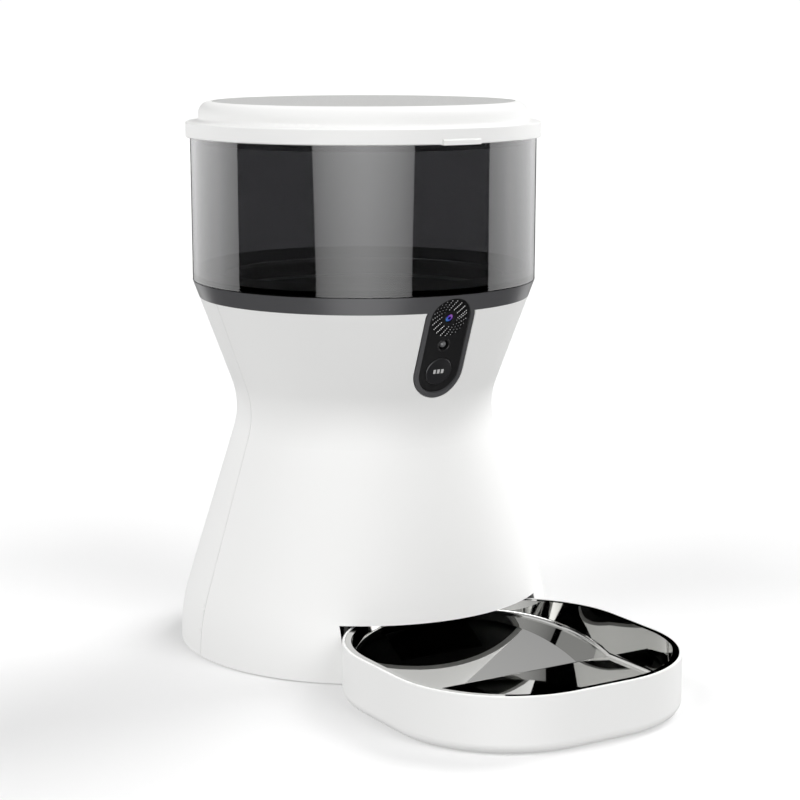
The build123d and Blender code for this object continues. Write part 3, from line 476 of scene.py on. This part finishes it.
class FEEDER_OT_feeding(Dressing, bpy.types.Operator):
    """Funnel, metering drum with its rotor, chute and niche"""

    bl_idname = "feeder.feeding"
    bl_label = "Feeding parts"
    dressing = {"dark": ("funnel", "chute", "bowl_niche", "level_sensors"), "silicone": ("rotor_wipers",),
                "inner": ("metering_drum", "rotor", "agitator")}


class FEEDER_OT_drive(Dressing, bpy.types.Operator):
    """Motor, gears, shafts and their case"""

    bl_idname = "feeder.drive"
    bl_label = "Drive"
    dressing = {"acetal": ("output_gear", "second_gear", "first_gear"),
                "inner": ("gearbox_case", "gearbox_cover"),
                "plated": ("gear_axles", "rotor_shaft", "motor_pinion", "gear_motor"),
                "brass": ("shaft_bushes",)}


class FEEDER_OT_power(Dressing, bpy.types.Operator):
    """Batteries, power inlet and main board"""

    bl_idname = "feeder.power"
    bl_label = "Power and board"
    dressing = {"inner": ("battery_bay",), "jacket": ("battery_cells",), "plated": ("battery_contacts",),
                "board": ("main_board",), "dark": ("board_parts", "dc_socket")}


class FEEDER_OT_fasteners(Dressing, bpy.types.Operator):
    """All screws"""

    bl_idname = "feeder.fasteners"
    bl_label = "Fasteners"
    dressing = {"plated": ("shell_screws", "drum_screws", "gearbox_screws", "board_screws", "base_screws",
                           "battery_screw")}


def icon_block(width):
    """One block of the icon, with its edges rounded."""
    deselect()
    bpy.ops.mesh.primitive_cube_add(size=1.0)
    block = bpy.context.active_object
    block.dimensions = (width, ICON_HEIGHT * width, ICON_THICK)
    bpy.ops.object.transform_apply(location=False, rotation=False, scale=True)
    bpy.ops.object.mode_set(mode="EDIT")
    bpy.ops.mesh.select_all(action="SELECT")
    bpy.ops.mesh.bevel(offset=ICON_ROUND, segments=2)
    bpy.ops.object.mode_set(mode="OBJECT")
    return block


class FEEDER_OT_button_icon(bpy.types.Operator):
    """Three small raised blocks, a plain settings icon on the push button"""

    bl_idname = "feeder.button_icon"
    bl_label = "Button icon"

    def execute(self, context):
        width = context.scene.feeder_sizes.icon_block
        panel = panel_frame()
        centre = button_centre(panel)
        blocks = []
        for step in (-1, 0, 1):
            block = icon_block(width)
            spot = Vector((centre.x + step * ICON_SPACING * width, centre.y, centre.z + ICON_LIFT))
            block.matrix_world = panel @ Matrix.Translation(spot)
            blocks.append(block)
        context.view_layer.update()
        settle(join(blocks), "button_icon", FINISHES["print"], "button")
        return {"FINISHED"}


def grille_rim(radius):
    """One rim: a low cone whose top is let in, so that a lip stands round it."""
    deselect()
    bpy.ops.mesh.primitive_cone_add(
        vertices=DOT_SIDES, radius1=radius, radius2=DOT_TOP * radius, depth=DOT_HEIGHT)
    rim = bpy.context.active_object
    bpy.ops.object.mode_set(mode="EDIT")
    for face in bmesh.from_edit_mesh(rim.data).faces:
        face.select_set(face.normal.z > FACES_UP)
    bpy.ops.mesh.inset(thickness=DOT_RIM * radius)
    bpy.ops.transform.translate(value=(0, 0, -DOT_SINK))
    bpy.ops.object.mode_set(mode="OBJECT")
    return rim


def grille_places():
    """Where the rims lie, in the panel's plane: every second place of each ring."""
    for ring in range(GRILLE_RINGS):
        reach = GRILLE_INNER + (GRILLE_OUTER - GRILLE_INNER) * ring / (GRILLE_RINGS - 1)
        count = round(math.tau * reach / GRILLE_PITCH)
        for step in range(0, count, 2):
            angle = math.tau * (step + 0.5 * ring) / count
            yield reach * math.cos(angle), reach * math.sin(angle)


def repeat(mesh, places):
    """Fills a mesh with copies of itself at the given places."""
    pattern, whole = mesh.copy(), bmesh.new()
    for place in places:
        copy = pattern.copy()
        copy.transform(place)
        whole.from_mesh(copy)
        bpy.data.meshes.remove(copy)
    whole.to_mesh(mesh)
    whole.free()
    bpy.data.meshes.remove(pattern)


class FEEDER_OT_grille_dots(bpy.types.Operator):
    """Raised rims with painted glints round every second sound hole of the grille"""

    bl_idname = "feeder.grille_dots"
    bl_label = "Grille dots"

    def execute(self, context):
        rim = grille_rim(context.scene.feeder_sizes.dot_radius)
        panel = panel_frame()
        top = grille_top(panel)
        repeat(rim.data, [panel @ Matrix.Translation((x, y, top)) for x, y in grille_places()])
        # the rims take the finish whose glints are painted into its colour
        settle(rim, "grille_dots", FINISHES["rims"], "base")
        return {"FINISHED"}


# ---- studio ----------------------------------------------------------------------------------------------


def add_camera(studio):
    """Camera on a circle round the body's axis, tilted down and turned a little to the right."""
    away = Vector((math.sin(studio.camera_azimuth), -math.cos(studio.camera_azimuth), 0.0))
    spot = AXIS + away * studio.camera_distance + Vector((0, 0, studio.camera_height))
    turn = (math.pi / 2 - studio.camera_pitch, 0.0, studio.camera_azimuth - studio.camera_yaw)
    deselect()
    bpy.ops.object.camera_add(location=spot, rotation=turn)
    camera = bpy.context.active_object
    camera.name = "camera"
    camera.data.lens = studio.camera_lens
    camera.data.sensor_width = 36.0
    bpy.context.scene.camera = camera


def add_floor():
    """Pale paper sweep, matt, which takes the feeder's shadow."""
    deselect()
    bpy.ops.mesh.primitive_plane_add(size=FLOOR_SIDE, location=(0, 0, 0))
    floor = bpy.context.active_object
    floor.name = "floor"
    material, tree = new_material("white_paper_floor")
    paper = add_node(tree, "ShaderNodeBsdfDiffuse", {"Color": linear("F2F2F2")})
    close_material(material, paper.outputs["BSDF"])
    floor.data.materials.append(material)
    floor.visible_glossy = floor.visible_diffuse = False


def card_glow(name, middle, strength, profile, narrowing):
    """Glow of a card: brightness by angle from the camera's side, fading towards the floor and its top."""
    material, tree = new_material(name)
    place = add_node(tree, "ShaderNodeTexCoord").outputs["Object"]
    axes = add_node(tree, "ShaderNodeSeparateXYZ", {0: place})
    front = add_node(tree, "ShaderNodeMath", {0: axes.outputs["Y"], 1: -1.0}, operation="MULTIPLY")
    turn = add_node(tree, "ShaderNodeMath", {0: axes.outputs["X"], 1: front.outputs[0]}, operation="ARCTAN2")
    angle = add_node(tree, "ShaderNodeMath", {0: turn.outputs[0]}, operation="ABSOLUTE")
    lean = add_node(tree, "ShaderNodeMapRange", {
        "Value": axes.outputs["Z"], "From Min": FADE_LOW - middle, "From Max": FADE_HIGH - middle,
        "To Min": math.radians(narrowing), "To Max": 0.0})
    shifted = add_node(tree, "ShaderNodeMath", {0: angle.outputs[0], 1: lean.outputs["Result"]},
                       operation="ADD")
    share = add_node(tree, "ShaderNodeMath", {0: shifted.outputs[0], 1: math.pi}, operation="DIVIDE")
    stops = [(degrees / 180, (level, level, level, 1.0)) for degrees, level in profile]
    around = colour_ramp(tree, share.outputs[0], stops)
    fade = add_node(tree, "ShaderNodeMapRange", {
        "Value": axes.outputs["Z"], "From Min": FADE_LOW - middle, "From Max": FADE_HIGH - middle,
        "To Min": CARD_FLOOR_SHARE * strength, "To Max": strength})
    thin = add_node(tree, "ShaderNodeMapRange", {
        "Value": axes.outputs["Z"], "From Min": THIN_LOW - middle, "From Max": THIN_HIGH - middle,
        "To Min": 1.0, "To Max": CARD_TOP_SHARE})
    level = add_node(tree, "ShaderNodeMath", {0: fade.outputs["Result"], 1: thin.outputs["Result"]},
                     operation="MULTIPLY")
    shader = add_node(tree, "ShaderNodeEmission", {"Color": around, "Strength": level.outputs[0]})
    return close_material(material, shader.outputs["Emission"])


def add_card(studio, name, low, high, strength, profile, narrowing):
    """Tall curved white cards, left and right alike, seen only in polished surfaces."""
    deselect()
    middle = (low + high) / 2
    bpy.ops.mesh.primitive_cylinder_add(
        vertices=CARD_FACETS, radius=CARD_RADIUS, depth=high - low, end_fill_type="NOTHING",
        location=(AXIS.x, AXIS.y, middle), rotation=(0, 0, studio.camera_azimuth))
    card = bpy.context.active_object
    card.name = name
    bpy.ops.object.mode_set(mode="EDIT")
    mesh = bmesh.from_edit_mesh(card.data)
    first, last = profile[0][0], profile[-1][0]
    for face in mesh.faces:
        spot = face.calc_center_median()
        face.select_set(not first <= abs(math.degrees(math.atan2(spot.x, -spot.y))) <= last)
    bmesh.update_edit_mesh(card.data)
    bpy.ops.mesh.delete(type="FACE")
    bpy.ops.object.mode_set(mode="OBJECT")
    card.data.materials.append(card_glow(name, middle, strength, profile, narrowing))
    card.visible_camera = card.visible_diffuse = card.visible_transmission = card.visible_shadow = False


def add_sun(name, studio, azimuth, elevation, spread, power):
    """Very wide soft light; azimuth is measured from the camera's side, all angles in degrees."""
    turn = studio.camera_azimuth + math.radians(azimuth)
    rise = math.radians(elevation)
    away = Vector((math.sin(turn) * math.cos(rise), -math.cos(turn) * math.cos(rise), math.sin(rise)))
    deselect()
    bpy.ops.object.light_add(type="SUN", location=AXIS + SUN_REACH * away)
    light = bpy.context.active_object
    light.name = name
    light.data.angle = math.radians(spread)
    light.data.energy = power
    light.rotation_euler = (-away).to_track_quat("-Z", "Y").to_euler()
    light.visible_glossy = False


def light_world(scene):
    """White backdrop, a soft fill on matt surfaces, and a dark room with a pale ceiling in polished ones."""
    world = bpy.data.worlds.new("studio")
    scene.world = world
    world.use_nodes = True
    tree = world.node_tree
    tree.nodes.clear()
    ray = add_node(tree, "ShaderNodeLightPath")
    way = add_node(tree, "ShaderNodeTexCoord").outputs["Generated"]
    rise = add_node(tree, "ShaderNodeSeparateXYZ", {0: way})
    room = add_node(tree, "ShaderNodeMapRange", {
        "Value": rise.outputs["Z"], "From Min": CEILING_LOW, "From Max": CEILING_HIGH, "To Min": 0.0,
        "To Max": CEILING}, interpolation_type="SMOOTHSTEP")
    soft = add_node(tree, "ShaderNodeMapRange", {
        "Value": rise.outputs["Z"], "From Min": -FILL_TURN, "From Max": FILL_TURN, "To Min": FILL_LOW,
        "To Max": FILL_HIGH})
    fill = add_node(tree, "ShaderNodeMix", {0: ray.outputs["Is Diffuse Ray"], 2: BACKDROP,
                                            3: soft.outputs["Result"]})
    level = add_node(tree, "ShaderNodeMix", {0: ray.outputs["Is Glossy Ray"], 2: fill.outputs[0],
                                             3: room.outputs["Result"]})
    back = add_node(tree, "ShaderNodeBackground", {"Color": linear("FFFFFF"), "Strength": level.outputs[0]})
    add_node(tree, "ShaderNodeOutputWorld", {"Surface": back.outputs["Background"]})



class FEEDER_OT_studio(bpy.types.Operator):
    """Camera, pale floor, soft lights and the cards that polished surfaces reflect"""

    bl_idname = "feeder.studio"
    bl_label = "Studio"

    def execute(self, context):
        check_dressed()
        studio = context.scene.feeder_studio
        add_camera(studio)
        add_floor()
        for card in CARDS:
            add_card(studio, *card)
        for sun in SUNS:
            add_sun(sun[0], studio, *sun[1:])
        light_world(context.scene)
        context.scene.view_settings.view_transform = "Standard"
        return {"FINISHED"}


OPERATORS = (FEEDER_OT_shells, FEEDER_OT_hopper, FEEDER_OT_lid, FEEDER_OT_controls, FEEDER_OT_tray,
             FEEDER_OT_feeding, FEEDER_OT_drive, FEEDER_OT_power, FEEDER_OT_fasteners, FEEDER_OT_button_icon,
             FEEDER_OT_grille_dots, FEEDER_OT_studio)


class FEEDER_PT_looks(bpy.types.Panel):
    """Lists the steps that build the feeder's looks"""

    bl_idname = "FEEDER_PT_looks"
    bl_label = "Feeder looks"
    bl_space_type = "VIEW_3D"
    bl_region_type = "UI"
    bl_category = "Feeder"

    def draw(self, context):
        for operator in OPERATORS:
            self.layout.operator(operator.bl_idname)


GROUPS = {"feeder_colours": FeederColours, "feeder_sizes": FeederSizes, "feeder_studio": FeederStudio}


def register():
    for item in (*GROUPS.values(), *OPERATORS, FEEDER_PT_looks):
        bpy.utils.register_class(item)
    for name, group in GROUPS.items():
        setattr(bpy.types.Scene, name, bpy.props.PointerProperty(type=group))


def unregister():
    for name in GROUPS:
        delattr(bpy.types.Scene, name)
    for item in reversed((*GROUPS.values(), *OPERATORS, FEEDER_PT_looks)):
        bpy.utils.unregister_class(item)


def main():
    register()
    bpy.ops.feeder.shells()
    bpy.ops.feeder.hopper()
    bpy.ops.feeder.lid()
    bpy.ops.feeder.controls()
    bpy.ops.feeder.tray()
    bpy.ops.feeder.feeding()
    bpy.ops.feeder.drive()
    bpy.ops.feeder.power()
    bpy.ops.feeder.fasteners()
    bpy.ops.feeder.button_icon()
    bpy.ops.feeder.grille_dots()
    bpy.ops.feeder.studio()


if __name__ == "__main__":
    main()
